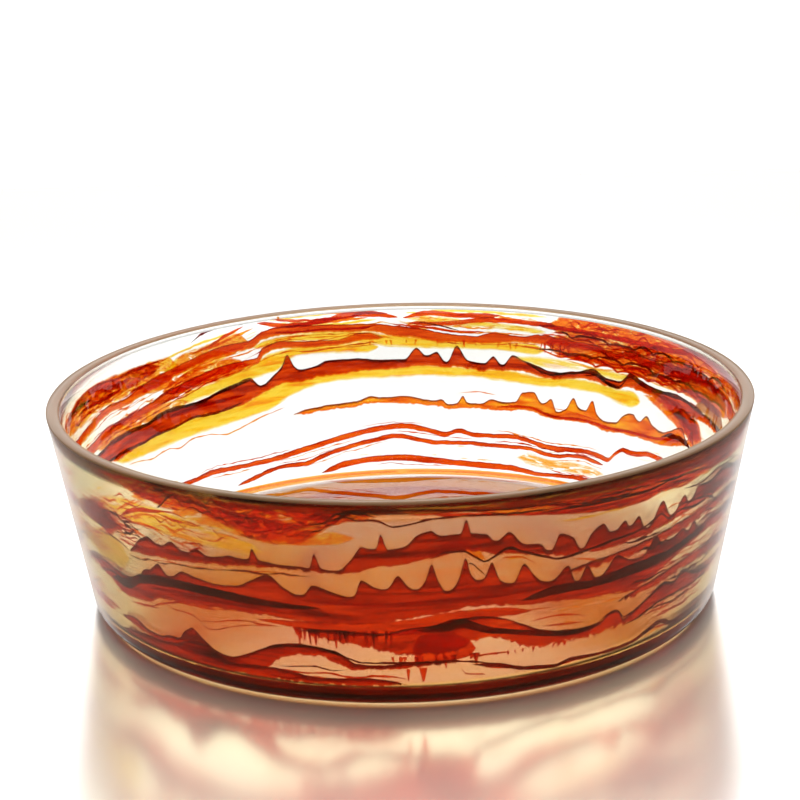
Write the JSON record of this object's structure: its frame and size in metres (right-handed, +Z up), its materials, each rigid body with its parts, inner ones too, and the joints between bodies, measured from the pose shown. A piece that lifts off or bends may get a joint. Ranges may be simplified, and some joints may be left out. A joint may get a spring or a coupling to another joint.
{
  "type": "cased art glass bowl",
  "caption": "Wide round bowl of clear satin-cased glass with flared side, flat base, ground rim and red, orange and maroon glass trails laid inside the wall.",
  "frame": {"origin": "on the bowl's axis, on the plane of its flat underside", "axes": "+Z up along the bowl's axis of revolution, -Y towards the front of the trail pattern, +X to the viewer's right of it"},
  "size_m": [0.2998, 0.2998, 0.088],
  "materials": {
    "clear_glass": "polished",
    "satin_glass": "satin",
    "orange_glass": "glossy",
    "red_glass": "glossy",
    "dark_red_glass": "glossy",
    "maroon_glass": "glossy",
    "amber_glass": "glossy",
    "yellow_glass": "glossy",
    "brown_glass": "glossy",
    "blush_glass": "glossy",
    "olive_glass": "glossy"
  },
  "bodies": {
    "root": {"inner_gather": "clear_glass", "outer_casing": "satin_glass", "rim_mottle_front": "orange_glass", "rim_red_right": "red_glass", "rim_mottle_back": "orange_glass", "left_amber_mottle": "orange_glass", "left_red_mottle": "red_glass", "front_left_thread": "red_glass", "front_upper_trail": "dark_red_glass", "front_main_band": "dark_red_glass", "front_lower_swath": "red_glass", "front_arch_trail": "dark_red_glass", "front_low_thread": "dark_red_glass", "base_maroon_ring": "maroon_glass", "upper_red_trail": "red_glass", "second_red_trail": "red_glass", "main_dark_trail": "dark_red_glass", "orange_thread_right": "orange_glass", "amber_trail": "amber_glass", "back_red_thread_upper": "red_glass", "back_red_thread_middle": "orange_glass", "back_red_thread_lower": "red_glass", "yellow_veil": "yellow_glass", "red_veil_right": "red_glass", "brown_veil_right": "brown_glass", "blush_veil": "blush_glass", "olive_veil_left": "olive_glass", "floor_amber_veil": "amber_glass", "floor_swirl_outer": "amber_glass", "floor_swirl_middle": "amber_glass", "floor_swirl_inner": "amber_glass"}
  },
  "joints": []
}
